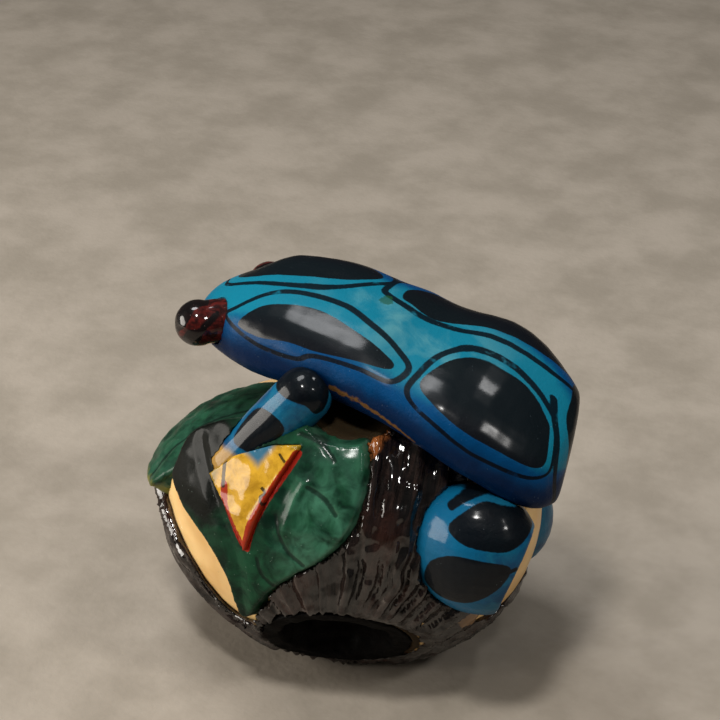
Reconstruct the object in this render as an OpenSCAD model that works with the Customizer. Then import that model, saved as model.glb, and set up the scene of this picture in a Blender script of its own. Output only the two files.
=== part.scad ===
/* [Nut] */
// Length of the nut along the frog
nut_l = 47.5; // [46:0.5:50]
// Width of the nut across the frog
nut_w = 41; // [40:0.5:43]
// Height of the nut before it is carved and its base is ground flat
nut_h = 42.2; // [41.6:0.2:43]
// Thickness of the brown seed coat
husk_t = 1.2; // [1:0.1:1.6]

/* [Frog] */
// Length of the frog's head and body
frog_l = 46; // [44:0.5:48]
// Width of the frog's body at the hips
frog_w = 21; // [20:0.5:22]
// Lean of the frog towards its left side, in degrees
frog_roll = 6; // [3:1:8]
// Radius of an eye
eye_r = 2.7; // [2.4:0.1:3]
// Radius of a foreleg
foreleg_r = 3.2; // [2.9:0.1:3.5]

/* [Leaves] */
// Height of the leaves above the shell of the nut
leaf_rise = 0.6; // [0.4:0.1:1]
// Depth of the leaves below the shell of the nut
leaf_depth = 1.7; // [1.7:0.1:2.2]
// Height of the flower above its leaf
flower_rise = 0.5; // [0.3:0.1:0.8]

/* [Base] */
// Diameter of the hollow where the nut was attached
scar_d = 14.4; // [12:0.2:16]
// Depth of the dry tissue left in the hollow
scar_t = 1.6; // [1.2:0.1:2]
// Depth of the hollow
scar_hollow = 4; // [3:0.5:5]

/* [Hidden] */
far = 60;
base_z = 19.5;
nut_c = [0, 1, base_z];
shoulder_c = [-3.2, 1, 14.6];
shoulder_size = [45, 44, 30];
body_x = 5;
leaf_az = -8;
leaf_el = 22;
leaf_from = 9;
scar_az = 22;
scar_el = -36;
scar_flat = 18.6;
step_x = 2.6;
thigh_cut = 21.1;

// stations from snout to rump
widths = [6.6, 8.4, 9.3, 10.2, 10.5, 8.8];
ups = [4.4, 6.0, 5.5, 4.9, 5.2, 5.8];
downs = [4.0, 5.2, 4.6, 4.8, 5.6, 5.4];
heights = [40.0, 40.6, 40.8, 39.8, 36.6, 31.2];
blunt_head = 3.4;
blunt_rump = 5;

// outlines seen square to the leaf, centred on the nut
front_leaf_edge = [
    [9, 10.5], [11, 8], [11.8, 4.5], [11.4, 0.4], [9, -3.6], [4.4, -8], [-0.6, -14.2],
    [-1.6, -10.6], [-3, -8], [-5, -6], [-9, -3.6], [-12.4, -1], [-12.2, 1.4], [-11, 5],
    [-5.5, 8.4], [3.5, 11]
];
back_leaf_edge = [
    [2.6, -8], [-1.5, -8.2], [-5.5, -5], [-8, 0], [-7.5, 6], [-4, 10], [1, 11], [6, 9], [7, 4], [4.6, -1.5]
];
flower_edge = [[-5.8, 2], [-3, 5], [1, 7.4], [4.2, 8.4], [3.4, 5], [2.2, 1], [0.9, -5], [-1.4, -1.8], [-3.4, 0]];
window_edge = [
    [-30, 1], [-8, 1], [-4, 0], [-1, -2.4], [1.4, -5], [3.4, -8.2], [5.4, -10], [9, -9.6],
    [13, -3], [16, 6], [14, 14], [8, 34], [-30, 34]
];

function mixed(table, s) =
    let (n = len(table) - 1, f = min(s * n, n - 0.0001), i = floor(f), t = f - i,
         a = table[max(i - 1, 0)], b = table[i], c = table[i + 1], d = table[min(i + 2, n)])
    b + t * (c - a) / 2 + t * t * (a - 2.5 * b + 2 * c - d / 2) + t * t * t * (1.5 * b - a / 2 - 1.5 * c + d / 2);

function around(table, i) = table[(i + len(table)) % len(table)];

// closed curve through every point of the outline
function flowing(edge, steps) =
    [for (i = [0:len(edge) - 1], j = [0:steps - 1])
        let (t = j / steps, a = around(edge, i - 1), b = edge[i], c = around(edge, i + 1), d = around(edge, i + 2))
        b + t * (c - a) / 2 + t * t * (a - 2.5 * b + 2 * c - d / 2) + t * t * t * (1.5 * b - a / 2 - 1.5 * c + d / 2)];

function signed_pow(v, p) = sign(v) * pow(abs(v), p);

function oval(a, up, down, p, n) =
    [for (k = [0:n - 1]) let (q = 360 * k / n)
        [a * signed_pow(cos(q), p), (sin(q) > 0 ? up : down) * signed_pow(sin(q), p)]];

function body_ring(s, n) =
    let (blunt = s < 0.5 ? blunt_head : blunt_rump,
         cap = pow(1 - pow(abs(2 * s - 1), blunt), 1 / blunt),
         x = body_x + frog_l * (s - 0.5),
         a = mixed(widths, s) * frog_w / 21 * cap)
    [for (q = oval(a, mixed(ups, s) * cap, mixed(downs, s) * cap, 0.86, n))
        [x, q[0] * cos(frog_roll) - q[1] * sin(frog_roll),
            mixed(heights, s) + q[0] * sin(frog_roll) + q[1] * cos(frog_roll)]];

// hand-carved surfaces are kept as one fine mesh
module carved() resize([0, 0, 0]) children();

module skin(rings) {
    n = len(rings[0]);
    m = len(rings);
    points = [for (r = rings) each r];
    sides = [for (i = [0:m - 2], k = [0:n - 1])
        [i * n + k, (i + 1) * n + k, (i + 1) * n + (k + 1) % n, i * n + (k + 1) % n]];
    first = [for (k = [0:n - 1]) k];
    last = [for (k = [0:n - 1]) m * n - 1 - k];
    polyhedron(points, concat([first], sides, [last]), convexity = 6);
}

module facing(az, el) rotate([90 - el, 0, az]) children();

module ellipsoid(c, size, fn = 48) translate(c) scale(size / 2) sphere(r = 1, $fn = fn);

module nut_oval(grow) ellipsoid(nut_c, [nut_l + 2 * grow, nut_w + 2 * grow, nut_h + 2 * grow]);

// whole nut with the ground base and the flat around the hollow
module nut_volume(grow) intersection() {
    nut_oval(grow);
    translate([-far, -far, 0]) cube(2 * far);
    translate(nut_c) facing(scar_az, scar_el) translate([-far, -far, scar_flat - 2 * far]) cube(2 * far);
}

// lower ground that the leaves lie on, in front of the frog's chest
module shoulder(grow) ellipsoid(shoulder_c, [for (v = shoulder_size) v + 2 * grow]);

// carved ground of the nut: full height behind the step, the lower shoulder before it
module ground(nut_grow, shoulder_grow) intersection() {
    nut_volume(nut_grow);
    union() {
        shoulder(shoulder_grow);
        translate([-step_x, -far, -1]) cube([far, 2 * far, far]);
    }
}

module leaf_bed() ground(-leaf_depth, -leaf_depth);

module prism(az, el, edge, from = 0) facing(az, el) translate([0, 0, from])
    linear_extrude(height = far - from) polygon(edge);

module body_volume() {
    stations = 30;
    skin([for (i = [0:stations]) body_ring(0.5 - 0.4995 * cos(180 * i / stations), 36)]);
}

module knob(at, az) translate(at) facing(az, 0) {
    sphere(r = eye_r, $fn = 32);
    translate([0, 0, -3.4]) cylinder(r = eye_r * 0.94, h = 3.4, $fn = 32);
}
module left_knob() knob([-15.7, -6, 41.2], -50);
module right_knob() knob([-13.6, 6.9, 40.7], 230);

module limb(a, b) {
    d = b - a;
    az = atan2(d[0], -d[1]);
    el = atan2(d[2], norm([d[0], d[1]]));
    translate(a) facing(az, el) {
        sphere(r = foreleg_r, $fn = 28);
        cylinder(r1 = foreleg_r, r2 = foreleg_r * 0.94, h = norm(d), $fn = 28);
        translate([0, 0, norm(d)]) sphere(r = foreleg_r * 0.94, $fn = 28);
    }
}
module left_limb() limb([0.2, -10, 38.2], [-6.8, -13.4, 29.2]);
module right_limb() limb([0, 10.4, 38.4], [-7, 13.6, 30.2]);

// the left thigh ends in a flat cut behind
module left_haunch() difference() {
    ellipsoid([20.6, -8.4, 23.2], [15.4, 12, 15.6], 36);
    translate([0, 0, 21.2]) facing(104, -20) translate([-far, -far, thigh_cut]) cube(2 * far);
}
module right_haunch() ellipsoid([13.4, 12.4, 13.9], [15.4, 12, 15.6], 36);

// where the coat is gone behind the thighs, the bare nut stands almost flush with it
module bare_back() translate([12, -6, 11.2]) cube([far, 20, far]);

module belly_gap() ellipsoid([5.4, -9, 36.4], [9, 12, 4.4], 28);

module front_leaf_prism() translate(nut_c) prism(leaf_az, leaf_el, flowing(front_leaf_edge, 4), leaf_from);

module front_leaf_volume() intersection() {
    nut_volume(leaf_rise);
    front_leaf_prism();
}

module flower_volume() intersection() {
    nut_volume(leaf_rise + flower_rise);
    translate(nut_c) prism(leaf_az, leaf_el, flower_edge, leaf_from);
}

module back_leaf_prism() translate(shoulder_c) prism(-60, 40, flowing(back_leaf_edge, 4));

module back_leaf_volume() intersection() {
    ground(leaf_rise, leaf_rise);
    back_leaf_prism();
}

module hollow() translate(nut_c) facing(scar_az, scar_el) translate([0, 0, scar_flat - scar_hollow])
    cylinder(d1 = scar_d * 0.6, d2 = scar_d, h = scar_hollow + 1, $fn = 48);

module scar_volume() translate(nut_c) facing(scar_az, scar_el) translate([0, 0, scar_flat - scar_hollow - scar_t])
    cylinder(d1 = scar_d * 0.6 + 2 * scar_t, d2 = scar_d + 2 * scar_t, h = scar_hollow + scar_t, $fn = 48);

module frog_parts() {
    body_volume();
    left_limb();
    right_limb();
    left_haunch();
    right_haunch();
}

module frog_body() color("steelblue") difference() {
    body_volume();
    left_knob();
    right_knob();
}

module left_eye() color("maroon") left_knob();

module right_eye() color("maroon") right_knob();

module left_foreleg() color("steelblue") carved() difference() {
    left_limb();
    body_volume();
}

module right_foreleg() color("steelblue") carved() difference() {
    right_limb();
    body_volume();
}

module left_hind_leg() color("steelblue") carved() difference() {
    left_haunch();
    body_volume();
}

module right_hind_leg() color("steelblue") carved() difference() {
    right_haunch();
    body_volume();
}

module flower() color("gold") carved() difference() {
    flower_volume();
    leaf_bed();
    frog_parts();
}

module front_leaf() color("seagreen") carved() difference() {
    front_leaf_volume();
    leaf_bed();
    flower_volume();
    belly_gap();
    frog_parts();
}

module back_leaf() color("seagreen") carved() difference() {
    back_leaf_volume();
    leaf_bed();
    front_leaf_prism();
    frog_parts();
}

module hilum_scar() color("black") difference() {
    scar_volume();
    hollow();
    translate([-far, -far, -2 * far]) cube(2 * far);
}

module nut_husk() color("saddlebrown") carved() difference() {
    nut_volume(0);
    nut_oval(-husk_t);
    translate(nut_c) prism(-40, 0, window_edge);
    translate([-far, -far, 26.2]) cube([far - step_x, 2 * far, far]);
    bare_back();
    translate([-far, -9, 35.2]) cube([far + 6, 26, far]);
    front_leaf_volume();
    flower_volume();
    belly_gap();
    scar_volume();
    frog_parts();
}

module nut_kernel() color("wheat") carved() difference() {
    union() {
        ground(-husk_t, 0);
        intersection() {
            nut_volume(-0.5);
            bare_back();
        }
    }
    difference() {
        union() {
            front_leaf_prism();
            back_leaf_prism();
        }
        leaf_bed();
    }
    belly_gap();
    scar_volume();
    frog_parts();
}

nut_kernel();
nut_husk();
hilum_scar();
front_leaf();
back_leaf();
flower();
frog_body();
left_eye();
right_eye();
left_foreleg();
right_foreleg();
left_hind_leg();
right_hind_leg();
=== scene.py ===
"""Carved nut figurine: a dyed frog on a nut with two leaves and a flower, on a plain stage."""

import itertools
import math

import bpy
import numpy as np
from mathutils import Matrix, Vector


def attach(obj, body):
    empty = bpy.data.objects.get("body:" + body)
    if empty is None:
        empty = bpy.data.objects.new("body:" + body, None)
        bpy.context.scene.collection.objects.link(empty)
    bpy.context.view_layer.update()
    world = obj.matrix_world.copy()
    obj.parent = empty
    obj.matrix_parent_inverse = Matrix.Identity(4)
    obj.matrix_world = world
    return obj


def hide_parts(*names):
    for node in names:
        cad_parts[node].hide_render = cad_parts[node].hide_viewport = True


bl_info = {
    "name": "Carved Nut Frog",
    "version": (1, 0, 0),
    "blender": (4, 5, 0),
    "location": "View3D > Sidebar > Nut Frog",
    "description": "Builds the carved nut, its leaves, flower and painted frog around the packed frame",
    "category": "Object",
}

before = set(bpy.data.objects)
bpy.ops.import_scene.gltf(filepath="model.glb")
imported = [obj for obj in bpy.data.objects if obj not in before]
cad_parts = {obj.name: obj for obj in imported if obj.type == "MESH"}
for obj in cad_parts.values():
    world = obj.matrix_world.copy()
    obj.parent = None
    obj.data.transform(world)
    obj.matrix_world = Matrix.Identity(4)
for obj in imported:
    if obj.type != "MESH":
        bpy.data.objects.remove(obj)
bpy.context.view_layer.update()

MM = 0.001

# places in millimetres, in the part's own frame
NUT_CENTRE = (0, 1, 19.5)
NUT_RADII = (23.75, 20.5, 21.1)
BACK_LEAF_CENTRE = (-3.2, 1, 14.6)
HOLLOW_PLACE = (6, -14, 8.6)
GAP_PLACE, GAP_REACH = (5.4, -8, 36.6), (8.5, 9, 4.2)
STAIN_PLACE, SCRATCH_PLACE = (-20.3, -9, 19.6), (-9.6, -14.5, 11)
FIBRES_PLACE, COPPER_PLACE = (19, -11, 13), (7.1, -10.7, 36.2)
CHIP_PLACE, CRUST_PLACE = (20, -7.6, 12.8), (4.5, -10, 38.2)
GOLD_PLACE, MOSS_PLACE = (-1.5, -17, 29.5), (4.6, 1.2, 45.8)
EYE_PLACES = (("left", (-15.7, -6, 41.2), 28), ("right", (-14.2, 6.8, 41.5), 152))
FORELEG_CENTRE = (-3.3, -14, 33.7)
HAUNCH_CENTRE, FAR_HAUNCH_CENTRE = (20.6, -8.4, 23.2), (14.8, 13, 20.8)
RUMP_FRONT, RUMP_REACH = 21, 22.9

# views square to the carved forms: azimuth and elevation in degrees
LEAF_VIEW, BACK_LEAF_VIEW = (-8, 22), (-60, 40)
SCAR_VIEW, SCRATCH_VIEW = (22, -36), (-40, 0)
HAUNCH_VIEW, EYE_ELEVATION = (30, 10), 33

# camera and lights, in metres, watts and red, green and blue
CAMERA_VIEW, CAMERA_TARGET, CAMERA_DISTANCE = (28, 33), (0, 0, 21.2), 260
CAMERA_SHIFT, CAMERA_LENS = (1.76, 14.1), 110.5
LAMP_AIM = (0.005, 0, 0.03)
LAMPS = (("front_box", (0.03, -0.14, 0.34), (0.045, 0.045), 0.55, (1.0, 0.98, 0.95)),
         ("side_box", (0.28, -0.04, 0.29), (0.045, 0.045), 0.26, (1.0, 0.98, 0.95)),
         ("top_box", (-0.10, 0.035, 0.36), (0.15, 0.11), 0.55, (0.97, 0.98, 1.0)),
         ("back_box", (0.12, 0.17, 0.32), (0.04, 0.04), 0.12, (1.0, 1.0, 1.0)),
         ("low_box", (-0.26, -0.16, 0.09), (0.26, 0.16), 0.95, (1.0, 0.94, 0.86)))
ROOM_TINT, ROOM_STRENGTH = (1.0, 0.97, 0.93, 1), 0.05
FLOOR_HALF = 1.5

# sections of the frog's body from snout to rump: half width, rise, drop and height of the centre
BODY_WIDTHS = (6.6, 8.4, 9.3, 10.2, 10.5, 8.8)
BODY_UPS = (4.4, 6.0, 5.5, 4.9, 5.2, 5.8)
BODY_DOWNS = (4.0, 5.2, 4.6, 4.8, 5.6, 5.4)
BODY_HEIGHTS = (40.0, 40.6, 40.8, 39.8, 36.6, 31.2)
BODY_MIDDLE, BODY_LENGTH, BODY_ROLL = 5, 46, math.radians(6)
ALONG_SCALE, ROUND_SCALE = 0.66, 0.15

# painted outlines on the body: place along it in percent, and degrees round it from the spine
NEAR_HEAD_PATCH = ((27.5, -58), (31, -34), (36, -24), (42, -20), (49, -26), (54, -31), (56.5, -36),
                   (55.5, -44), (50, -52), (44, -59), (39, -60), (33, -65))
NEAR_HEAD_LINE = ((23, -51), (25.5, -39), (31.5, -17), (37.5, -9), (45, -8), (50.5, -15), (55, -21),
                  (58.5, -30), (58.5, -42), (56.5, -54), (51.5, -57), (44, -64), (41, -74), (35, -75),
                  (28.5, -67))
NEAR_BACK_PATCH = ((61.5, -41), (62.5, -21), (64.5, -8), (67.5, -1), (72, 1), (77, 3), (84, -2), (87, -9),
                   (90.5, -38), (88, -53), (78, -57), (71, -59), (65, -52))
NEAR_BACK_LINE = ((60, -52), (60.5, -34), (61.5, -14), (63.5, -2), (66, 3), (71, 7), (76, 8), (82.5, 5),
                  (88, -2), (92.5, -30), (93, -54), (88, -66), (78.5, -72), (72.5, -75), (66.5, -69),
                  (62, -63))
FAR_HEAD_PATCH = ((18, 12), (23, 3), (29, 3), (34, 5), (40, 11), (44, 20), (46, 34), (43, 48), (36, 58),
                  (28, 58), (21, 46), (17, 28))
FAR_HEAD_LINE = ((14, 14), (16, 0), (22, -5), (30, -6), (36, -3), (41, 3), (45, 16), (48, 34), (45, 56),
                 (36, 68), (26, 68), (17, 52), (13, 32))
FAR_BACK_PATCH = ((51, 18), (53, 14), (57.5, 12), (63, 22), (70, 30), (77, 42), (80, 58), (72, 70), (62, 66),
                  (55, 52), (51, 34))
FAR_BACK_LINE = ((48, 22), (49, 14), (54.5, 9), (61, 12), (67.5, 19), (74, 25), (81, 35), (85, 52), (80, 72),
                 (68, 80), (56, 72), (49, 50))
# painted on the rump, seen from behind: across and up
RUMP_PATCH = ((3.8, 37.2), (0.7, 35.6), (-0.9, 31.6), (-0.4, 27.6), (4, 25.6), (8.6, 27.6), (9.4, 33),
              (7, 37.4))
RUMP_LINE = ((1.9, 38.2), (-0.9, 36.3), (-3.7, 33.2), (-3.8, 29.2), (-2.6, 25))

# painted on a foreleg, seen square to it: across and up
LEG_CAP = ((1.9, 5.7), (2.4, 7.2), (4.4, 7.9), (6.7, 7.2), (7.7, 5.3), (7.3, 3.4), (6.2, 2.6), (5.2, 3.4),
           (3.6, 4.0), (2.4, 4.8))
LEG_PATCH = ((-0.5, 3.2), (1.4, 2.7), (2.8, 0.8), (0.6, -1.4), (-1.0, -1.6), (-2.9, 0.0))

# painted on a hind leg, seen square to it
THIGH_UPPER = ((-3.3, 4.5), (-1.4, 6.2), (0.6, 7.0), (2.6, 6.6), (4.8, 5.8), (7, 5.2), (5.4, 3.4), (3.2, 2.4),
               (0.6, 2.5), (-2.0, 3.1))
THIGH_LOWER = ((-5.7, -1.4), (-5.0, 0.4), (-3.0, 1.6), (0, 1.4), (3.2, 0.6), (2.6, -1.4), (0.6, -3.4),
               (-1.6, -4.5), (-4.0, -4.4), (-5.5, -3.1))
THIGH_LINE = ((-2.9, 6.3), (-1.4, 7.2), (0.4, 7.7), (2.4, 7.8))
THIGH_MARK = ((2.3, -0.3), (3.9, 0.2))

# painted on an eye, seen square to it
EYE_TOP = ((-0.2, 2.8), (1.1, 2.8), (1.2, 1.9), (-0.1, 1.5), (-0.7, 0.4), (-1.5, -0.8), (-2.8, -1.0),
           (-2.9, 0.6), (-1.8, 2.4))
EYE_BAND = ((-2.0, -2.9), (-1.2, -1.1), (0.2, -0.8), (1.6, 0.7), (2.4, 1.2), (2.3, 0.3), (1.1, -0.9),
            (-0.1, -2.6))

# drawn on the front leaf and the flower, seen square to the leaf
LEAF_VEINS = (((3.5, 9.5), (6, 9.2), (8.2, 7.8)), ((6.5, 4.3), (8.6, 3.6), (10.1, 2.2)),
              ((3.7, 0.2), (5.2, -2.8), (7.7, -4.5)), ((2.2, -5.5), (2.9, -7.2), (4.3, -8.1)))
LEAF_FOLD = ((6.1, 4.6), (5.4, 1.4), (5.0, -1.4))
LEAF_MIDRIB = ((-8.9, 4.7), (-4.2, -0.7), (-0.4, -6.6), (-0.2, -13.6))
# outline of the painted shade on the front leaf's left half, which turns away from the light
LEAF_SHADE_OUTLINE = ((-15.5, -1), (-15, 4), (-8, 8), (-4.6, 7), (-3.4, 3), (-3.2, 0), (-5.4, -3.4), (-9, -3))
PETAL_RIGHT = ((4.2, 7.4), (3.9, 6.2), (3.3, 4.2), (2.0, 0.6), (1.3, -1.8), (0.9, -4.6))
PETAL_LEFT = ((-3.2, 1.6), (-2.6, -0.4), (-1.1, -2.4), (0.4, -4.2))
PETAL_MARK = ((1.7, 2.8), (2.2, 2.4), (1.8, 1.7), (2.3, 1.0))
PETAL_STROKE = ((-4.0, 4.4), (-3.7, 3.0), (-3.3, 1.4))
PETAL_DASH = ((2.5, 6.9), (3.3, 6.3))


def dye(red, green, blue):
    """Colour of a dye from its 0 to 255 red, green and blue, as the linear value that shaders use."""
    return tuple(c / 12.92 if c <= 0.04045 else ((c + 0.055) / 1.055) ** 2.4
                 for c in (red / 255, green / 255, blue / 255))


# ---------------------------------------------------------------- shapes

def turned(view):
    """Right, up and outward directions of a view with this azimuth and elevation."""
    azimuth, elevation = (math.radians(a) for a in view)
    right = np.array((math.cos(azimuth), math.sin(azimuth), 0))
    out = np.array((math.sin(azimuth) * math.cos(elevation), -math.cos(azimuth) * math.cos(elevation),
                    math.sin(elevation)))
    return right, np.cross(out, right), out


def seen_from(points, centre, view):
    """Places of the points across and up, seen square from that view."""
    right, up, _ = turned(view)
    offset = points - np.array(centre)
    return np.stack((offset @ right, offset @ up), 1)


def flowing(edge, closed=True, steps=6):
    """Smooth curve through every point of an outline or a stroke."""
    edge = np.array(edge, float)
    count = len(edge)
    pick = (lambda i: edge[i % count]) if closed else (lambda i: edge[min(max(i, 0), count - 1)])
    curve = []
    for i in range(count if closed else count - 1):
        a, b, c, d = (pick(i + k) for k in (-1, 0, 1, 2))
        for t in np.arange(steps) / steps:
            curve.append(b + t * (c - a) / 2 + t * t * (a - 2.5 * b + 2 * c - d / 2)
                         + t ** 3 * (1.5 * b - a / 2 - 1.5 * c + d / 2))
    return np.array(curve if closed else curve + [edge[-1]])


def from_path(points, path):
    """Distance of each point from a path of straight pieces."""
    nearest = np.full(len(points), 1e9)
    for a, b in zip(path[:-1], path[1:]):
        span = b - a
        t = np.clip(((points - a) @ span) / max(span @ span, 1e-9), 0, 1)
        nearest = np.minimum(nearest, np.linalg.norm(points - a - t[:, None] * span, axis=1))
    return nearest


def stroke(points, path, width):
    """Signed distance from a brush stroke, negative inside."""
    return from_path(points, flowing(path, closed=False)) - width / 2


def patch(points, edge):
    """Signed distance from a painted patch, negative inside."""
    curve = flowing(edge)
    ring = np.vstack((curve, curve[:1]))
    inside = np.zeros(len(points), bool)
    for a, b in zip(ring[:-1], ring[1:]):
        if a[1] != b[1]:
            crosses = (a[1] > points[:, 1]) != (b[1] > points[:, 1])
            inside ^= crosses & (points[:, 0] < (b[0] - a[0]) * (points[:, 1] - a[1]) / (b[1] - a[1]) + a[0])
    return from_path(points, ring) * np.where(inside, -1, 1)


def outlined(points, edge, width):
    """Signed distance from the line painted round a patch."""
    return np.abs(patch(points, edge)) - width / 2


def mottle(points, size, seed=0):
    """Smooth uneven field from -1 to 1, with features of this size."""
    place = points / size + seed * 17.37
    cell = np.floor(place)
    part = place - cell
    part = part * part * (3 - 2 * part)
    total = np.zeros(len(points))
    for corner in itertools.product((0, 1), repeat=points.shape[1]):
        key = (cell + corner) @ np.array((127.1, 311.7, 74.7))[:points.shape[1]]
        value = np.sin(key) * 43758.5453
        total += (value - np.floor(value)) * np.prod(np.where(corner, part, 1 - part), axis=1)
    return 2 * total - 1


def body_place(points):
    """Place along the frog's body and round it, scaled so that both read as millimetres."""
    share = np.clip((points[:, 0] - BODY_MIDDLE) / BODY_LENGTH + 0.5, 0.0005, 0.9995)
    station = share * (len(BODY_WIDTHS) - 1)
    i = np.minimum(station.astype(int), len(BODY_WIDTHS) - 2)
    t = station - i

    def mixed(table):
        table = np.array(table)
        last = len(table) - 1
        a, b, c, d = (table[np.clip(i + k, 0, last)] for k in (-1, 0, 1, 2))
        return (b + t * (c - a) / 2 + t * t * (a - 2.5 * b + 2 * c - d / 2)
                + t ** 3 * (1.5 * b - a / 2 - 1.5 * c + d / 2))

    height = points[:, 2] - mixed(BODY_HEIGHTS)
    across = points[:, 1] * math.cos(BODY_ROLL) + height * math.sin(BODY_ROLL)
    up = height * math.cos(BODY_ROLL) - points[:, 1] * math.sin(BODY_ROLL)
    wide = across / mixed(BODY_WIDTHS)
    tall = up / np.where(up > 0, mixed(BODY_UPS), mixed(BODY_DOWNS))
    sharp = 1 / 0.86
    wide = np.sign(wide) * np.abs(wide) ** sharp
    tall = np.sign(tall) * np.abs(tall) ** sharp
    angle = np.degrees(np.arctan2(wide, tall))
    return np.stack((np.arccos(1 - 2 * share) / math.pi * 100 * ALONG_SCALE, angle * ROUND_SCALE), 1)


def on_body(edge):
    """Outline given in percent and degrees, in the same millimetres as body_place."""
    return [(along * ALONG_SCALE, round_ * ROUND_SCALE) for along, round_ in edge]


def ease(value, low, high):
    """0 at low, 1 at high, smooth between; low may be above high."""
    t = np.clip((value - low) / (high - low), 0, 1)
    return t * t * (3 - 2 * t)


class Carving:
    """Fine closed mesh made from a CAD node, worked in millimetres and kept in metres."""

    def __init__(self, node, name, grain, rounding):
        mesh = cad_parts[node].data.copy()
        mesh.transform(Matrix.Scale(1 / MM, 4))
        rough = bpy.data.objects.new(name, mesh)
        bpy.context.scene.collection.objects.link(rough)
        weld = rough.modifiers.new("weld", "WELD")
        weld.merge_threshold = 0.002
        skin = rough.modifiers.new("even skin", "REMESH")
        skin.mode = "VOXEL"
        skin.voxel_size = grain
        if rounding:
            soften = rough.modifiers.new("soften", "SMOOTH")
            soften.factor = 0.5
            soften.iterations = rounding
        graph = bpy.context.evaluated_depsgraph_get()
        self.mesh = bpy.data.meshes.new_from_object(rough.evaluated_get(graph))
        bpy.data.objects.remove(rough)
        self.mesh.materials.clear()
        self.node, self.name = node, name
        self.read()

    def read(self):
        """Takes the points and their outward directions from the mesh."""
        count = len(self.mesh.vertices)
        flat = np.zeros(count * 3, np.float32)
        self.mesh.vertices.foreach_get("co", flat)
        self.points = flat.reshape(-1, 3).astype(float)
        self.mesh.vertices.foreach_get("normal", flat)
        self.outward = flat.reshape(-1, 3).astype(float)

    def push(self, height):
        """Moves each point outward by its height in millimetres."""
        self.points += self.outward * np.asarray(height)[:, None]
        self.mesh.vertices.foreach_set("co", self.points.astype(np.float32).ravel())
        self.mesh.update()
        self.read()

    def mark(self, name, values):
        """Stores a number at each point for the finish to read."""
        layer = self.mesh.attributes.new(name, "FLOAT", "POINT")
        layer.data.foreach_set("value", np.asarray(values, np.float32))

    def place(self, finish, slot):
        """Puts the finished piece in the scene in place of its CAD node."""
        self.points[:, 2] = np.maximum(self.points[:, 2], 0)
        self.mesh.vertices.foreach_set("co", self.points.astype(np.float32).ravel())
        self.mesh.transform(Matrix.Scale(MM, 4))
        self.mesh.polygons.foreach_set("use_smooth", [True] * len(self.mesh.polygons))
        self.mesh.update()
        self.mesh.materials.append(finish)
        piece = bpy.data.objects.new(self.name, self.mesh)
        bpy.context.scene.collection.objects.link(piece)
        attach(piece, "root")
        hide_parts(self.node)
        return piece


# ---------------------------------------------------------------- finishes

class Wire:
    """A socket that can be used in an expression; each operation adds its Math node."""

    def __init__(self, finish, socket):
        self.finish, self.socket = finish, socket

    def maths(self, operation, first, second=0.0):
        return self.finish.add("ShaderNodeMath", {"operation": operation}, {0: first, 1: second})

    def __add__(self, other):
        return self.maths("ADD", self, other)

    def __radd__(self, other):
        return self.maths("ADD", other, self)

    def __sub__(self, other):
        return self.maths("SUBTRACT", self, other)

    def __rsub__(self, other):
        return self.maths("SUBTRACT", other, self)

    def __mul__(self, other):
        return self.maths("MULTIPLY", self, other)

    def __rmul__(self, other):
        return self.maths("MULTIPLY", other, self)

    def __truediv__(self, other):
        return self.maths("DIVIDE", self, other)

    def __pow__(self, other):
        return self.maths("POWER", self, other)


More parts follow.
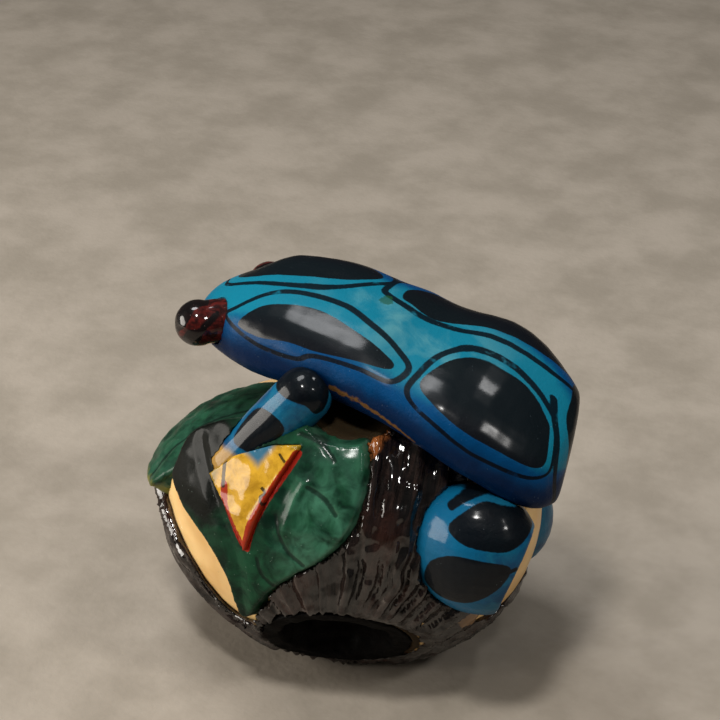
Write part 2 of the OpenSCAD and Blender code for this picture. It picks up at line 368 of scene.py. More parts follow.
class Finish:
    """A material under construction."""

    def __init__(self, name):
        self.material = bpy.data.materials.new(name)
        self.material.use_nodes = True
        self.tree = self.material.node_tree
        self.tree.nodes.clear()
        self.spot = self.add("ShaderNodeTexCoord", output="Object")

    def add(self, kind, settings=None, sockets=None, output=0):
        """Adds a node: its settings first, then the values or wires of its sockets."""
        node = self.tree.nodes.new(kind)
        for name, value in (settings or {}).items():
            if name == "stops":
                ramp = node.color_ramp
                while len(ramp.elements) < len(value):
                    ramp.elements.new(1)
                for element, (place, colour) in zip(ramp.elements, value):
                    element.position = place
                    element.color = (*colour, 1)
            else:
                setattr(node, name, value)
        for key, value in (sockets or {}).items():
            if isinstance(value, Wire):
                self.tree.links.new(value.socket, node.inputs[key])
            elif isinstance(value, tuple) and len(value) == 3 and node.inputs[key].type == "RGBA":
                node.inputs[key].default_value = (*value, 1)
            else:
                node.inputs[key].default_value = value
        return Wire(self, node.outputs[output]) if node.outputs else node

    def field(self, name):
        """A number stored on the mesh."""
        return self.add("ShaderNodeAttribute", {"attribute_name": name}, output="Fac")

    def grain(self, size, detail=2.0, rough=0.5, vector=None, twist=0.0):
        """Uneven field from 0 to 1 with features of this size in millimetres."""
        return self.add("ShaderNodeTexNoise", {}, {
            "Vector": vector or self.spot, "Scale": 1 / (size * MM), "Detail": detail, "Roughness": rough,
            "Distortion": twist})

    def cells(self, size, vector=None):
        """Distance from the middles of scattered cells of this size in millimetres."""
        return self.add("ShaderNodeTexVoronoi", {}, {
            "Vector": vector or self.spot, "Scale": 1 / (size * MM), "Randomness": 1.0}, "Distance")

    def between(self, value, low, high):
        """0 below low, 1 above high, smooth between; low may be above high."""
        return self.add("ShaderNodeMapRange", {"interpolation_type": "SMOOTHSTEP"},
                        {"Value": value, "From Min": low, "From Max": high})

    def blend(self, amount, first, second):
        """Mix of two colours."""
        return self.add("ShaderNodeMix", {"data_type": "RGBA"}, {0: amount, 6: first, 7: second}, output=2)

    def along(self, direction):
        """Place along a direction from the origin, in metres."""
        return self.add("ShaderNodeVectorMath", {"operation": "DOT_PRODUCT"},
                        {0: self.spot, 1: direction}, "Value")

    def relief(self, height, depth):
        """Normal with this height field pressed into it, depth in millimetres."""
        return self.add("ShaderNodeBump", {}, {"Height": height, "Distance": depth * MM, "Strength": 1.0})

    def close(self, **sockets):
        """Surface with these inputs, each named as in the shader with _ for a space."""
        surface = self.add("ShaderNodeBsdfPrincipled", {}, {"Specular IOR Level": 0.05} | {
            name.replace("_", " "): value for name, value in sockets.items()})
        self.add("ShaderNodeOutputMaterial", {}, {"Surface": surface})
        return self.material


def bare_nut(colours):
    """Smoothed white nut, waxy and slightly stained, with painted shade in the gap under the frog and a dark
    edge round the hollow.
    """
    f = Finish("bare_nut")
    cloud = f.grain(7, 3)
    tint = f.blend(f.between(cloud, 0.35, 0.7), colours.nut[:], colours.nut_shade[:])
    tint = f.blend(f.between(f.field("stain"), 0.1, 0.9) * 0.8, tint, colours.stain[:])
    pores = f.between(f.cells(0.7), 0.12, 0.05) * f.between(f.grain(3), 0.5, 0.7)
    tint = f.blend(pores * 0.5, tint, dye(96, 60, 34))
    mark = f.between(f.field("mark") + (f.grain(0.5) - 0.5) * 0.3, 0.08, -0.05)
    tint = f.blend(mark * 0.85, tint, dye(52, 44, 26))
    # painted shade: near black in the gap under the frog's belly; round the hollow the dark is partly painted
    # shade and partly the seed coat's colour
    soot = f.between(f.field("soot") + (f.grain(1.2, 4) - 0.5) * 0.5, 0.35, 0.6)
    tint = f.blend(soot * 0.97, tint, dye(12, 10, 9))
    rub = f.grain(1.2, 4, 0.7)
    return f.close(Base_Color=tint, Roughness=0.34 + rub * 0.14 + soot * 0.3,
                   Coat_Weight=0.3 - soot * 0.28, Coat_Roughness=0.22,
                   Subsurface_Weight=0.12, Subsurface_Radius=(0.004, 0.002, 0.001), Subsurface_Scale=0.6,
                   Normal=f.relief(rub + pores * -0.6, 0.035))


def seed_coat(colours):
    """Varnished brown seed coat, furrowed from the hollow upwards."""
    f = Finish("seed_coat")
    right, up, out = turned(SCAR_VIEW)
    centre = np.array(NUT_CENTRE) * MM
    across = f.along(tuple(right)) - float(right @ centre)
    over = f.along(tuple(up)) - float(up @ centre)
    depth = f.along(tuple(out)) - float(out @ centre)
    reach = (across * across + over * over) ** 0.5
    fan = f.add("ShaderNodeCombineXYZ", {}, {
        "X": across / reach * 0.02, "Y": over / reach * 0.02, "Z": depth * 0.12})
    furrows = f.grain(0.55, 3, 0.6, fan, 0.4)
    fibres = f.grain(0.2, 4, 0.65, fan, 0.2)
    scabs = f.grain(1.1, 5, 0.62, twist=0.8)
    pits = f.between(f.cells(0.8), 0.16, 0.34)
    # darker in the furrows of the relief: painted shade
    tint = f.blend(f.between(furrows, 0.36, 0.66), colours.coat_furrow_shade[:], colours.coat[:])
    tint = f.blend(f.between(f.grain(6, 3), 0.5, 0.72) * 0.65, tint, colours.coat_red[:])
    streaks = f.between(fibres, 0.56, 0.76) * (f.field("fibrous") * 0.9 + 0.12)
    tint = f.blend(streaks, tint, dye(112, 98, 82))
    copper = f.between(f.field("copper") + (f.grain(1.4, 4) - 0.5) * 1.6, 0.3, -0.15)
    tint = f.blend(copper * 0.9, tint, colours.copper[:])
    chip = f.between(f.field("chip") + (f.grain(0.9, 3) - 0.5) * 1.0, 0.1, -0.1)
    tint = f.blend(chip, tint, dye(150, 112, 70))
    amber = f.between(f.field("crust") + (f.grain(0.8, 4) - 0.5) * 1.2, 0.1, -0.2)
    tint = f.blend(amber * 0.8, tint, colours.amber[:])
    height = furrows * 1.1 + fibres * 0.5 + scabs * 0.35 + pits * 0.1
    return f.close(Base_Color=tint, Roughness=0.5 + scabs * 0.3 - copper * 0.15,
                   Coat_Weight=f.between(f.grain(1.7, 3), 0.3, 0.6) * 0.6 + 0.38,
                   Coat_Roughness=0.08, Coat_IOR=1.75,
                   Normal=f.relief(height, 0.8))


def dry_tissue(colours):
    """Dark crumbly tissue in the hollow."""
    f = Finish("dry_tissue")
    crumbs = f.grain(1.0, 6, 0.7)
    tint = f.blend(f.between(crumbs, 0.3, 0.75), dye(3, 3, 3), colours.tissue[:])
    tint = f.blend(f.between(f.grain(2.5, 3), 0.58, 0.8) * 0.4, tint, dye(30, 20, 14))
    return f.close(Base_Color=tint, Roughness=0.75 + crumbs * 0.2, Coat_Weight=0.05, Coat_Roughness=0.4,
                   Normal=f.relief(crumbs + f.grain(0.35, 3) * 0.4, 0.35))


def green_dye(colours, far=False):
    """Leaf green, washed over the nut and varnished."""
    f = Finish("far_green_dye" if far else "green_dye")
    wash = f.grain(3.2, 4, 0.6, twist=0.7)
    fleck = f.grain(0.5, 4, 0.65)
    tint = f.blend(f.between(wash, 0.36, 0.66), colours.leaf_deep[:], colours.leaf[:])
    # painted shade: near black where the leaf turns away from the light
    tint = f.blend(f.field("gloom") * 0.92, tint, dye(7, 11, 8))
    # lighter on the front leaf's right half, which faces the light: painted light; the back leaf gets a
    # little of it all over
    thin = f.between(f.grain(2.2, 4, twist=0.5), 0.3, 0.7) * f.field("pale")
    tint = f.blend(thin, tint, colours.leaf_pale[:])
    gold = f.between(f.field("gold") + (f.grain(1.2, 4) - 0.5) * 1.2, 0.2, -0.3)
    tint = f.blend(gold * 0.75, tint, dye(124, 118, 40))
    vein = f.between(f.field("vein") + (fleck - 0.5) * 0.25, 0.12, -0.08)
    tint = f.blend(vein * 0.75, tint, dye(14, 26, 22))
    red = f.between(f.field("red") + (fleck - 0.5) * 0.3, 0.06, -0.06)
    tint = f.blend(red * 0.9, tint, colours.petal_edge[:])
    # painted highlight along the leaf's edges, where they turn from the view
    rim = f.between(f.field("rim"), 0.4, 1.0) * f.between(f.grain(1.4, 3), 0.35, 0.6)
    tint = f.blend(rim * 0.12, tint, dye(128, 158, 138))
    dust = f.between(f.cells(0.55), 0.1, 0.05) * f.between(f.grain(1.6, 2), 0.46, 0.66)
    tint = f.blend(dust * 0.7, tint, dye(150, 170, 160))
    return f.close(Base_Color=tint, Roughness=0.36 + fleck * 0.2,
                   Coat_Weight=0.14 + f.field("pale") * 0.5, Coat_Roughness=0.16,
                   Normal=f.relief(wash * 0.6 + fleck * 0.25 + f.grain(1.1, 2) * 0.4, 0.16))


def yellow_dye(colours):
    """Yellow petal with red borders and small dark marks."""
    f = Finish("yellow_dye")
    wash = f.grain(1.6, 4, 0.6, twist=0.6)
    fleck = f.grain(0.35, 3, 0.6)
    tint = f.blend(f.between(wash, 0.34, 0.7), colours.petal[:], colours.petal_deep[:])
    blue = f.between(f.field("blue") + (wash - 0.5) * 0.8, 0.5, -0.5)
    tint = f.blend(blue * 0.95, tint, colours.leg[:])
    green = f.between(f.field("pale"), 0.2, 0.9) * f.between(wash, 0.4, 0.6)
    tint = f.blend(green * 0.6, tint, dye(96, 92, 34))
    red = f.between(f.field("red") + (fleck - 0.5) * 0.35, 0.06, -0.06)
    tint = f.blend(red * 0.95, tint, colours.petal_edge[:])
    mark = f.between(f.field("mark") + (fleck - 0.5) * 0.2, 0.05, -0.05)
    tint = f.blend(mark * 0.9, tint, dye(28, 26, 18))
    return f.close(Base_Color=tint, Roughness=0.32 + fleck * 0.15, Coat_Weight=0.5, Coat_Roughness=0.1,
                   Normal=f.relief(wash * 0.7 + fleck * 0.2 + f.grain(0.9) * 0.4, 0.12))


def blue_dye(colours):
    """Frog blue, thin and light on the back and deep on the flanks, darkest low down partly as painted shade,
    with black painted patches.
    """
    f = Finish("blue_dye")
    wash = f.grain(4.5, 4, 0.55, twist=0.5)
    fleck = f.grain(0.32, 4, 0.7)
    low = f.field("low") + (wash - 0.5) * 0.5
    # darker down the flanks to the belly: partly the frog's deeper blue, partly painted shade
    tint = f.blend(f.between(low, 0.1, 0.5), colours.back[:], colours.flank[:])
    tint = f.blend(f.between(low, 0.5, 1.0), tint, colours.belly[:])
    tint = f.blend(f.between(wash, 0.4, 0.7) * f.field("crown") * 0.9, tint, colours.back_pale[:])
    ink = f.field("ink") + (fleck - 0.5) * 0.14
    line = f.field("line") + (fleck - 0.5) * 0.16
    line_mask = f.between(line, 0.07, -0.07) * f.between(f.grain(2.2, 3), 0.22, 0.4)
    patch_mask = f.between(ink, 0.06, -0.06)
    rough_ink = f.blend(fleck, dye(3, 4, 6), dye(12, 12, 14))
    tint = f.blend(line_mask * 0.96, tint, dye(6, 11, 18))
    tint = f.blend(patch_mask * 0.98, tint, rough_ink)
    crust = f.between(f.field("crust") + (f.grain(0.9, 4) - 0.5) * 1.6, 0.1, -0.3)
    tint = f.blend(crust * 0.75, tint, colours.amber[:])
    moss = f.between(f.field("moss") + (f.grain(0.6, 3) - 0.5) * 1.2, 0.0, -0.3)
    tint = f.blend(moss * 0.7, tint, dye(30, 74, 40))
    dust = f.between(f.cells(0.5), 0.085, 0.04) * f.between(f.grain(1.5, 2), 0.5, 0.7)
    tint = f.blend(dust * 0.7, tint, dye(160, 180, 190))
    return f.close(Base_Color=tint, Roughness=0.34 + fleck * 0.16 + patch_mask * 0.06,
                   Coat_Weight=patch_mask * 0.34 + f.grain(2.2, 3) * 0.14, Coat_Roughness=0.2,
                   Normal=f.relief(f.grain(1.3, 3) * 0.5 + fleck * 0.4 - line_mask * 0.1, 0.16))


def leg_blue_dye(colours):
    """The same blue on the legs, with broad black bands and patches."""
    f = Finish("leg_blue_dye")
    wash = f.grain(2.6, 4, 0.55, twist=0.5)
    fleck = f.grain(0.4, 4, 0.65)
    tint = f.blend(f.between(wash, 0.36, 0.68), colours.leg[:], colours.leg_deep[:])
    bright = f.between(f.field("bright") + (wash - 0.5) * 0.5, 0.35, 0.8)
    tint = f.blend(bright * 0.85, tint, colours.thigh[:])
    gold = f.between(f.field("gold") + (wash - 0.5) * 1.2, 0.5, -0.5)
    tint = f.blend(gold * 0.85, tint, colours.petal_deep[:])
    ink = f.between(f.field("ink") + (fleck - 0.5) * 0.16, 0.06, -0.06)
    tint = f.blend(ink * 0.98, tint, f.blend(fleck, dye(3, 4, 6), dye(13, 13, 14)))
    dust = f.between(f.cells(0.5), 0.085, 0.04) * f.between(f.grain(1.5, 2), 0.5, 0.7)
    tint = f.blend(dust * 0.6, tint, dye(150, 165, 170))
    return f.close(Base_Color=tint, Roughness=0.34 + fleck * 0.16, Coat_Weight=0.34, Coat_Roughness=0.12,
                   Normal=f.relief(f.grain(1.3, 3) * 0.5 + fleck * 0.35, 0.15))


def red_dye(colours):
    """Dark red eye with black painted over it, thickly varnished."""
    f = Finish("red_dye")
    wash = f.grain(1.2, 4, 0.6, twist=0.8)
    fleck = f.grain(0.3, 4, 0.65)
    tint = f.blend(f.between(wash, 0.38, 0.62), colours.eye[:], colours.eye_deep[:])
    ink = f.between(f.field("ink") + (fleck - 0.5) * 0.35, 0.08, -0.08)
    tint = f.blend(ink * 0.96, tint, dye(10, 9, 10))
    grime = f.between(f.cells(0.45), 0.14, 0.07) * f.between(f.grain(0.9, 2), 0.44, 0.6)
    tint = f.blend(grime * 0.6, tint, dye(150, 120, 112))
    return f.close(Base_Color=tint, Roughness=0.3 + fleck * 0.2, Coat_Weight=0.8, Coat_Roughness=0.07,
                   Normal=f.relief(f.grain(0.8, 3) * 0.5 + fleck * 0.2, 0.08))


def pale_floor(colours):
    """Plain pale table top."""
    f = Finish("pale_floor")
    cloud = f.grain(14, 4, 0.6)
    tint = f.blend(f.between(cloud, 0.3, 0.7), colours.floor[:], colours.floor_shade[:])
    return f.close(Base_Color=tint, Roughness=0.8 + cloud * 0.1, Normal=f.relief(f.grain(0.8, 3), 0.05))


# ---------------------------------------------------------------- settings

def colour(label, what, red, green, blue):
    """Property for one dye."""
    return bpy.props.FloatVectorProperty(name=label, description=what, subtype="COLOR", size=3, min=0, max=1,
                                         default=dye(red, green, blue))


def length(label, what, default, low, high):
    """Property for a length in millimetres."""
    return bpy.props.FloatProperty(name=label, description=what, default=default, min=low, max=high,
                                   precision=3)


class NUTFROG_PG_colours(bpy.types.PropertyGroup):
    """Dyes and natural colours."""
    nut: colour("Nut", "Carved white nut", 244, 204, 140)
    nut_shade: colour("Nut shade", "Deeper tone of the carved nut", 228, 182, 116)
    stain: colour("Stain", "Stain left on the carved nut", 128, 84, 58)
    coat: colour("Seed coat", "Ridges of the seed coat", 44, 32, 28)
    # near black for the furrows of the seed coat: painted shade
    coat_furrow_shade: colour("Seed coat furrows", "Furrows of the seed coat", 7, 5, 5)
    coat_red: colour("Seed coat red", "Reddish areas of the seed coat", 54, 27, 19)
    copper: colour("Scraped coat", "Copper patch where the coat is scraped", 160, 92, 44)
    tissue: colour("Dry tissue", "Tissue in the hollow", 15, 13, 12)
    amber: colour("Amber crust", "Varnish gathered in the gap under the frog", 126, 88, 30)
    leaf: colour("Leaf", "Leaf green", 25, 70, 47)
    leaf_deep: colour("Leaf deep", "Deeper leaf green", 9, 34, 24)
    # this lighter green also stands for the light on the front leaf's right half: painted light
    leaf_pale: colour("Leaf pale", "Pale wash on the leaves", 66, 122, 96)
    petal: colour("Petal", "Flower yellow", 206, 158, 44)
    petal_deep: colour("Petal deep", "Deeper flower yellow", 168, 124, 28)
    petal_edge: colour("Petal edge", "Red border of the flower", 150, 24, 14)
    back: colour("Back", "Blue on top of the frog", 16, 112, 136)
    back_pale: colour("Back pale", "Thin pale blue on the crown of the back", 80, 142, 152)
    flank: colour("Flank", "Blue on the frog's sides", 1, 62, 108)
    # the deep blue low on the frog stands partly for painted shade
    belly: colour("Belly", "Deep blue low on the frog", 1, 30, 66)
    leg: colour("Foreleg", "Blue of the forelegs", 20, 96, 126)
    leg_deep: colour("Foreleg deep", "Deeper blue of the legs", 6, 62, 100)
    thigh: colour("Thigh", "Bright blue of the hind legs", 8, 92, 130)
    eye: colour("Eye", "Red of the eyes", 84, 24, 20)
    eye_deep: colour("Eye deep", "Deeper red of the eyes", 36, 9, 8)
    floor: colour("Floor", "Table top", 170, 160, 147)
    floor_shade: colour("Floor shade", "Deeper tone of the table top", 150, 141, 128)


class NUTFROG_PG_sizes(bpy.types.PropertyGroup):
    """Fineness of the carving and depth of its marks, in millimetres."""
    fine: length("Fine grain", "Mesh spacing on the frog, leaves and flower", 0.22, 0.15, 0.5)
    broad: length("Broad grain", "Mesh spacing on the nut and its coat", 0.36, 0.3, 0.8)
    furrow: length("Furrow depth", "Depth of the furrows in the seed coat", 0.75, 0, 1)
    vein: length("Vein depth", "Depth of the veins cut in the leaves", 0.14, 0, 0.4)
    wobble: length("Hand wobble", "Unevenness of the hand-carved surfaces", 0.16, 0, 0.5)
    line: length("Line width", "Width of the lines painted on the frog", 0.72, 0.2, 1.2)


class Job:
    """What the operators share."""
    bl_options = {"REGISTER"}

    def colours(self):
        return bpy.context.scene.nutfrog_colours

    def sizes(self):
        return bpy.context.scene.nutfrog_sizes


# ---------------------------------------------------------------- pieces

def around_scar(points):
    """Angle round the hollow's axis, and place along it, for points on the nut."""
    right, up, out = turned(SCAR_VIEW)
    offset = points - np.array(NUT_CENTRE)
    return np.arctan2(offset @ up, offset @ right), offset @ out


def near(points, centre, reach):
    """1 at a place, falling to 0 at this reach from it."""
    return np.clip(1 - np.linalg.norm(points - np.array(centre), axis=1) / reach, 0, 1)


class NUTFROG_OT_kernel(Job, bpy.types.Operator):
    """Carved white nut that carries everything"""
    bl_idname = "nutfrog.kernel"
    bl_label = "Carved nut"

    def execute(self, context):
        sizes = self.sizes()
        nut = Carving("nut_kernel", "carved_nut", sizes.broad, 4)
        nut.push(0.5 * sizes.wobble * (mottle(nut.points, 6, 1) + 0.4 * mottle(nut.points, 2.2, 2)) * 0.5)
        gap = np.linalg.norm((nut.points - np.array(GAP_PLACE)) / np.array(GAP_REACH), axis=1)
        scar = np.linalg.norm(nut.points - np.array(HOLLOW_PLACE), axis=1)
        # painted shade in the gap under the belly, and the dark edge round the hollow
        nut.mark("soot", np.clip(2.0 - 0.9 * gap, 0, 1) + np.clip((10.5 - scar) / 1.5, 0, 1))
        nut.mark("stain", near(nut.points, STAIN_PLACE, 4.4))
        flat = seen_from(nut.points, SCRATCH_PLACE, SCRATCH_VIEW)
        nut.mark("mark", stroke(flat, ((-0.6, -0.7), (0, 0), (0.3, 0.7)), 0.3))
        nut.place(bare_nut(self.colours()), "bare_nut")
        return {"FINISHED"}


class NUTFROG_OT_coat(Job, bpy.types.Operator):
    """Brown seed coat left on the lower nut"""
    bl_idname = "nutfrog.coat"
    bl_label = "Seed coat"

    def execute(self, context):
        sizes = self.sizes()
        coat = Carving("nut_husk", "seed_coat", sizes.broad, 3)
        angle, depth = around_scar(coat.points)
        offset = coat.points - np.array(NUT_CENTRE)
        outer = np.linalg.norm(offset / np.array(NUT_RADII), axis=1) > 0.975
        sway = angle + 0.05 * mottle(coat.points, 7, 3) + 0.025 * mottle(coat.points, 2.6, 4)
        spin = np.stack((np.cos(sway) * 21, np.sin(sway) * 21, depth * 0.11), 1)
        furrow = 0.6 - 2.2 * np.abs(mottle(spin, 1.9, 5)) + 0.7 * mottle(spin, 1.0, 6)
        rungs = np.abs(mottle(np.stack((spin[:, 0], spin[:, 1], depth * 1.4), 1), 1.5, 14))
        scab = mottle(coat.points, 2.4, 7) * 0.7 + mottle(coat.points, 1.2, 8) * 0.45
        depth_here = sizes.furrow * (0.9 + 0.35 * mottle(coat.points, 8, 9))
        relief = depth_here * (furrow * 1.3 + scab * 0.3 - rungs * 0.45 - 0.35)
        across = np.linalg.norm(seen_from(coat.points, NUT_CENTRE, SCAR_VIEW), axis=1)
        relief *= 0.35 + 0.65 * ease(across, 8.5, 12.5)
        coat.push(np.where(outer, np.clip(relief, -0.95, 0.2), 0))
        fibres = np.linalg.norm(coat.points - np.array(FIBRES_PLACE), axis=1)
        coat.mark("fibrous", np.clip(1.3 - fibres / 7, 0, 1))
        coat.mark("copper", 1.7 - 3.4 * near(coat.points, COPPER_PLACE, 6.6))
        coat.mark("chip", 1.2 - 3.0 * near(coat.points, CHIP_PLACE, 2.6))
        coat.mark("crust", 1.5 - 3.0 * near(coat.points, CRUST_PLACE, 3.0))
        coat.place(seed_coat(self.colours()), "seed_coat")
        return {"FINISHED"}


class NUTFROG_OT_hollow(Job, bpy.types.Operator):
    """Dry tissue in the hollow where the nut hung"""
    bl_idname = "nutfrog.hollow"
    bl_label = "Hollow"

    def execute(self, context):
        scar = Carving("hilum_scar", "hollow_tissue", 0.26, 2)
        scar.push(0.22 * mottle(scar.points, 1.6, 11) + 0.12 * mottle(scar.points, 0.8, 12) - 0.08)
        scar.place(dry_tissue(self.colours()), "dry_tissue")
        return {"FINISHED"}


class NUTFROG_OT_front_leaf(Job, bpy.types.Operator):
    """Leaf in front, with its folds, veins and the red petal border that runs over it"""
    bl_idname = "nutfrog.front_leaf"
    bl_label = "Front leaf"

    def execute(self, context):
        sizes = self.sizes()
        leaf = Carving("front_leaf", "front_leaf_piece", sizes.fine, 4)
        flat = seen_from(leaf.points, NUT_CENTRE, LEAF_VIEW)
        front = np.clip(leaf.outward @ turned(LEAF_VIEW)[2] * 2, 0, 1)
        veins = np.min([stroke(flat, path, 0.45) for path in LEAF_VEINS], axis=0)
        midrib = from_path(flat, flowing(LEAF_MIDRIB, closed=False))
        fold = from_path(flat, flowing(LEAF_FOLD, closed=False))
        carve = -sizes.vein * np.clip(1 - (veins + 0.2) / 0.5, 0, 1)
        carve -= 0.3 * np.clip(1 - midrib / 1.3, 0, 1)
        carve += 0.22 * np.clip(1 - fold / 0.6, 0, 1) - 0.16 * np.clip(1 - np.abs(fold - 1.4) / 1.0, 0, 1)
        carve += sizes.wobble * (0.7 * mottle(leaf.points, 3.2, 21) + 0.3 * mottle(leaf.points, 1.3, 22))
        leaf.push(front * (carve - 0.06))
        flat = seen_from(leaf.points, NUT_CENTRE, LEAF_VIEW)
        leaf.mark("vein", veins)
        # painted shade over the left half, deepening towards the left
        leaf.mark("gloom", np.clip(0.5 - patch(flat, LEAF_SHADE_OUTLINE) / 2.6, 0, 1) + 0.4 * ease(flat[:, 0], 1, -3))
        # painted light: lighter towards the right half, which faces the light, less so at the top
        leaf.mark("pale", 0.85 * ease(flat[:, 0], 2.5, 8.5) * (1 - 0.6 * ease(flat[:, 1], 3, 8)))
        leaf.mark("gold", 1.5 - 3 * near(leaf.points, GOLD_PLACE, 3.0))
        leaf.mark("red", np.minimum(stroke(flat, PETAL_RIGHT, 0.85), stroke(flat, PETAL_LEFT, 0.95)))
        # painted highlight on the edges that turn away from the view
        leaf.mark("rim", np.clip(1 - front * 1.1, 0, 1))
        leaf.place(green_dye(self.colours()), "green_dye")
        return {"FINISHED"}


class NUTFROG_OT_back_leaf(Job, bpy.types.Operator):
    """Leaf behind, on the frog's far side of the shoulder"""
    bl_idname = "nutfrog.back_leaf"
    bl_label = "Back leaf"

    def execute(self, context):
        sizes = self.sizes()
        leaf = Carving("back_leaf", "back_leaf_piece", sizes.fine, 4)
        flat = seen_from(leaf.points, BACK_LEAF_CENTRE, BACK_LEAF_VIEW)
        middle = from_path(flat, np.array(((1.5, -8), (-1, 0), (0, 11))))
        ribs = np.abs((flat[:, 1] * 0.55 + np.abs(flat[:, 0]) * 0.4) % 2.2 - 1.1)
        front = np.clip(leaf.outward @ turned(BACK_LEAF_VIEW)[2] * 2, 0, 1)
        carve = -0.2 * np.clip(1 - middle / 0.9, 0, 1) - 0.08 * np.clip(1 - ribs / 0.5, 0, 1)
        carve += sizes.wobble * (0.6 * mottle(leaf.points, 3, 31) + 0.4 * mottle(leaf.points, 1.2, 32))
        leaf.push(front * (carve + 0.4))
        leaf.mark("vein", middle - 0.2)
        # painted shade, deeper towards the bottom of the back leaf
        leaf.mark("gloom", 0.25 + 0.5 * ease(leaf.points[:, 2], 23, 18))
        leaf.mark("pale", np.full(len(leaf.points), 0.25))
        leaf.mark("gold", (leaf.points[:, 2] - 21.4) * 0.5 + np.maximum(leaf.points[:, 1] * 0.1, 0))
        leaf.mark("red", np.full(len(leaf.points), 9.0))
        leaf.mark("rim", np.clip(1 - front * 1.1, 0, 1))
        leaf.place(green_dye(self.colours(), far=True), "far_green_dye")
        return {"FINISHED"}


class NUTFROG_OT_flower(Job, bpy.types.Operator):
    """Yellow flower with red borders"""
    bl_idname = "nutfrog.flower"
    bl_label = "Flower"

    def execute(self, context):
        sizes = self.sizes()
        bloom = Carving("flower", "flower_piece", 0.18, 4)
        front = np.clip(bloom.outward @ turned(LEAF_VIEW)[2] * 2, 0, 1)
        flat = seen_from(bloom.points, NUT_CENTRE, LEAF_VIEW)
        ridge = from_path(flat, flowing(PETAL_RIGHT, closed=False))
        carve = sizes.wobble * (0.8 * mottle(bloom.points, 2.2, 41) + 0.35 * mottle(bloom.points, 0.9, 42))
        bloom.push(front * (carve + 0.15 * np.clip(1 - ridge / 0.7, 0, 1) - 0.08))
        bloom.mark("red", np.minimum(stroke(flat, PETAL_RIGHT, 0.85), stroke(flat, PETAL_LEFT, 0.95)))
        bloom.mark("mark", np.min([stroke(flat, PETAL_MARK, 0.36), stroke(flat, PETAL_STROKE, 0.5),
                                   stroke(flat, PETAL_DASH, 0.3)], axis=0))
        bloom.mark("pale", np.clip((flat[:, 1] - 6.6) / 2, 0, 1) + np.clip((-3.9 - flat[:, 0]) / 1.2, 0, 1))
        bloom.mark("blue", leg_tone(bloom.points)[2])
        bloom.place(yellow_dye(self.colours()), "yellow_dye")
        return {"FINISHED"}


class NUTFROG_OT_body(Job, bpy.types.Operator):
    """The frog's head and body in one, with its painted patches"""
    bl_idname = "nutfrog.body"
    bl_label = "Frog body"

    def execute(self, context):
        sizes = self.sizes()
        body = Carving("frog_body", "frog_body_piece", sizes.fine, 6)
        place = body_place(body.points)
        along, turn = place[:, 0] / ALONG_SCALE, place[:, 1] / ROUND_SCALE
        far_side = ease(turn, 5, 45) * ease(turn, 130, 90)
        far_hips = 0.85 * ease(along, 52, 74) * ease(along, 96, 80)
        far_head = 0.75 * ease(along, 20, 30) * ease(along, 50, 38)
        hips = 0.35 * ease(np.abs(along - 75), 20, 4) * ease(np.abs(turn), 90, 50)
        waist = 0.45 * ease(np.abs(along - 59), 8, 1) * ease(np.abs(turn), 110, 60)
        body.push(hips - waist)
        wobble = sizes.wobble * (0.5 * mottle(body.points, 5, 51) + 0.25 * mottle(body.points, 2, 52))
        body.push((far_hips + far_head) * far_side + wobble - 0.02)
        # the rump ends softly in a flat face
        right, up, _ = turned(CAMERA_VIEW)
        rump = 0.97 * right - 0.245 * up
        past = np.maximum((body.points - np.array(CAMERA_TARGET)) @ rump - RUMP_REACH, 0)
        body.points -= (past - past / (1 + past))[:, None] * rump
        body.push(np.zeros(len(past)))
        patches = [patch(place, on_body(edge)) for edge in
                   (NEAR_HEAD_PATCH, NEAR_BACK_PATCH, FAR_HEAD_PATCH, FAR_BACK_PATCH)]
        lines = [outlined(place, on_body(edge), sizes.line) for edge in
                 (NEAR_HEAD_LINE, NEAR_BACK_LINE, FAR_HEAD_LINE, FAR_BACK_LINE)]
        behind = body.points[:, 0] > RUMP_FRONT
        across = body.points[:, 1:]
        patches.append(np.where(behind, patch(across, RUMP_PATCH), 9))
        lines.append(np.where(behind, stroke(across, RUMP_LINE, sizes.line * 1.1), 9))
        body.mark("ink", np.min(patches, axis=0))
        body.mark("line", np.min(lines, axis=0))
        # painted shade: the far side, turned from the light, turns to the deep blue sooner than the near one
        turn = np.where(turn > 0, turn * 1.25 + 8, -turn)
        # darker towards the belly and the snout: partly deeper blue, partly painted shade
        body.mark("low", np.clip((turn - 30) / 60, 0, 1.2) + np.clip((24 - along) / 30, 0, 1) * 0.5)
        body.mark("crown", np.clip(1.2 - turn / 40, 0, 1) * np.clip(1.3 - np.abs(along - 57) / 18, 0, 1))
        body.mark("crust", stroke(place, on_body(((48, -90), (53, -92), (57, -98), (62, -106))), 0.9))
        body.mark("moss", 0.8 - 2.0 * near(body.points, MOSS_PLACE, 1.6))
        body.place(blue_dye(self.colours()), "blue_dye")
        return {"FINISHED"}


class NUTFROG_OT_eyes(Job, bpy.types.Operator):
    """Both eyes"""
    bl_idname = "nutfrog.eyes"
    bl_label = "Eyes"

    def execute(self, context):
        finish = red_dye(self.colours())
        for side, centre, azimuth in EYE_PLACES:
            eye = Carving(side + "_eye", side + "_eye_piece", 0.13, 3)
            eye.push(0.05 * mottle(eye.points, 1.1, 61) - 0.02)
            flat = seen_from(eye.points, centre, (azimuth, EYE_ELEVATION))
            eye.mark("ink", np.minimum(patch(flat, EYE_TOP), patch(flat, EYE_BAND)))
            eye.place(finish, "red_dye")
        return {"FINISHED"}


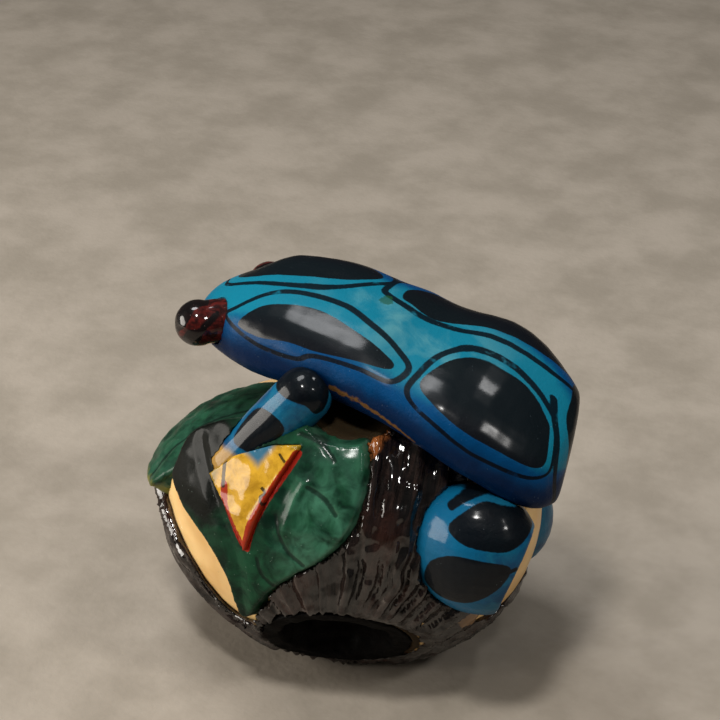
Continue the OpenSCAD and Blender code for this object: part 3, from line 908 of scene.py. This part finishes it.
def leg_tone(points):
    """Signed distances from the left foreleg's black paint, from its foot and from its blue on the flower."""
    flat = seen_from(points, FORELEG_CENTRE, CAMERA_VIEW)
    ink = np.minimum(patch(flat, LEG_CAP), patch(flat, LEG_PATCH))
    foot = flat @ np.array((-0.68, -0.73)) - 3.2
    return ink, foot, np.maximum(np.abs(flat @ np.array((0.73, -0.68)) + 0.2) - 2.1, foot + 1.0)


class NUTFROG_OT_forelegs(Job, bpy.types.Operator):
    """Both forelegs"""
    bl_idname = "nutfrog.forelegs"
    bl_label = "Forelegs"

    def execute(self, context):
        sizes = self.sizes()
        finish = leg_blue_dye(self.colours())
        for side in ("left", "right"):
            leg = Carving(side + "_foreleg", side + "_foreleg_piece", 0.18, 4)
            leg.push(sizes.wobble * 0.5 * mottle(leg.points, 2.4, 71) - 0.02)
            spots = leg.points
            if side == "right":
                spots = spots * np.array((1, -1, 1)) + np.array((0.2, 0.2, -0.4))
            ink, foot, _ = leg_tone(spots)
            leg.mark("ink", ink)
            leg.mark("gold", -foot)
            leg.mark("bright", np.clip(0.9 - np.abs(ink - 0.3) * 1.1, 0, 1) * 0.7)
            leg.place(finish, "leg_blue_dye")
        return {"FINISHED"}


class NUTFROG_OT_hind_legs(Job, bpy.types.Operator):
    """Both hind legs, folded against the nut"""
    bl_idname = "nutfrog.hind_legs"
    bl_label = "Hind legs"

    def execute(self, context):
        sizes = self.sizes()
        finish = leg_blue_dye(self.colours())
        finish.name = "thigh_blue_dye"
        for side in ("left", "right"):
            leg = Carving(side + "_hind_leg", side + "_hind_leg_piece", sizes.fine, 5)
            leg.push(sizes.wobble * 0.6 * mottle(leg.points, 3, 81) - 0.02)
            spots = leg.points
            if side == "right":
                spots = (spots - np.array(FAR_HAUNCH_CENTRE)) * np.array((1, -1, 1)) + np.array(HAUNCH_CENTRE)
            flat = seen_from(spots, HAUNCH_CENTRE, HAUNCH_VIEW)
            leg.mark("ink", np.min([patch(flat, THIGH_UPPER), patch(flat, THIGH_LOWER),
                                    stroke(flat, THIGH_LINE, 0.7), stroke(flat, THIGH_MARK, 0.5)], axis=0))
            leg.mark("gold", np.full(len(spots), 9.0))
            leg.mark("bright", np.clip(0.6 - flat[:, 0] / 9, 0, 1))
            leg.place(finish, "leg_blue_dye")
        return {"FINISHED"}


# ---------------------------------------------------------------- stage

def lamp(name, place, size, power, tint):
    """Round soft light at a place, turned to the figure."""
    light = bpy.data.lights.new(name, "AREA")
    light.shape = "ELLIPSE"
    light.size, light.size_y = size
    light.energy = power
    light.color = tint
    holder = bpy.data.objects.new(name, light)
    holder.location = place
    holder.rotation_euler = (Vector(LAMP_AIM) - Vector(place)).to_track_quat("-Z", "Y").to_euler()
    bpy.context.scene.collection.objects.link(holder)


class NUTFROG_OT_stage(Job, bpy.types.Operator):
    """Floor, soft lights and camera"""
    bl_idname = "nutfrog.stage"
    bl_label = "Stage"

    def execute(self, context):
        mesh = bpy.data.meshes.new("floor")
        corners = [(x * FLOOR_HALF, y * FLOOR_HALF, 0) for x, y in ((-1, -1), (1, -1), (1, 1), (-1, 1))]
        mesh.from_pydata(corners, [], [(0, 1, 2, 3)])
        mesh.materials.append(pale_floor(self.colours()))
        floor = bpy.data.objects.new("floor", mesh)
        bpy.context.scene.collection.objects.link(floor)

        world = bpy.data.worlds.new("soft_room")
        world.use_nodes = True
        room = world.node_tree.nodes["Background"]
        room.inputs["Color"].default_value = ROOM_TINT
        room.inputs["Strength"].default_value = ROOM_STRENGTH
        bpy.context.scene.world = world

        for name, place, size, power, tint in LAMPS:
            lamp(name, place, size, power, tint)

        right, up, out = turned(CAMERA_VIEW)
        eye = (np.array(CAMERA_TARGET) + out * CAMERA_DISTANCE) * MM
        gaze = -CAMERA_DISTANCE * out + CAMERA_SHIFT[0] * right + CAMERA_SHIFT[1] * up
        camera = bpy.data.objects.new("camera", bpy.data.cameras.new("camera"))
        camera.data.lens = CAMERA_LENS
        camera.data.clip_start = 0.01
        camera.location = eye
        camera.rotation_euler = Vector(gaze).to_track_quat("-Z", "Y").to_euler()
        bpy.context.scene.collection.objects.link(camera)
        bpy.context.scene.camera = camera
        bpy.context.scene.view_settings.view_transform = "Standard"
        return {"FINISHED"}


JOBS = (NUTFROG_OT_kernel, NUTFROG_OT_coat, NUTFROG_OT_hollow, NUTFROG_OT_front_leaf, NUTFROG_OT_back_leaf,
        NUTFROG_OT_flower, NUTFROG_OT_body, NUTFROG_OT_eyes, NUTFROG_OT_forelegs, NUTFROG_OT_hind_legs,
        NUTFROG_OT_stage)


class NUTFROG_PT_panel(bpy.types.Panel):
    """Pieces, sizes and colours of the figurine"""
    bl_idname = "NUTFROG_PT_panel"
    bl_label = "Nut Frog"
    bl_space_type = "VIEW_3D"
    bl_region_type = "UI"
    bl_category = "Nut Frog"

    def draw(self, context):
        for job in JOBS:
            self.layout.operator(job.bl_idname)
        for group in (context.scene.nutfrog_sizes, context.scene.nutfrog_colours):
            box = self.layout.box()
            for name in group.__annotations__:
                box.prop(group, name)


CLASSES = (NUTFROG_PG_colours, NUTFROG_PG_sizes, *JOBS, NUTFROG_PT_panel)


def register():
    for item in CLASSES:
        bpy.utils.register_class(item)
    bpy.types.Scene.nutfrog_colours = bpy.props.PointerProperty(type=NUTFROG_PG_colours)
    bpy.types.Scene.nutfrog_sizes = bpy.props.PointerProperty(type=NUTFROG_PG_sizes)


def unregister():
    del bpy.types.Scene.nutfrog_sizes
    del bpy.types.Scene.nutfrog_colours
    for item in reversed(CLASSES):
        bpy.utils.unregister_class(item)


def main():
    """Builds every piece and the stage."""
    register()
    for job in JOBS:
        group, name = job.bl_idname.split(".")
        getattr(getattr(bpy.ops, group), name)()


if __name__ == "__main__":
    main()
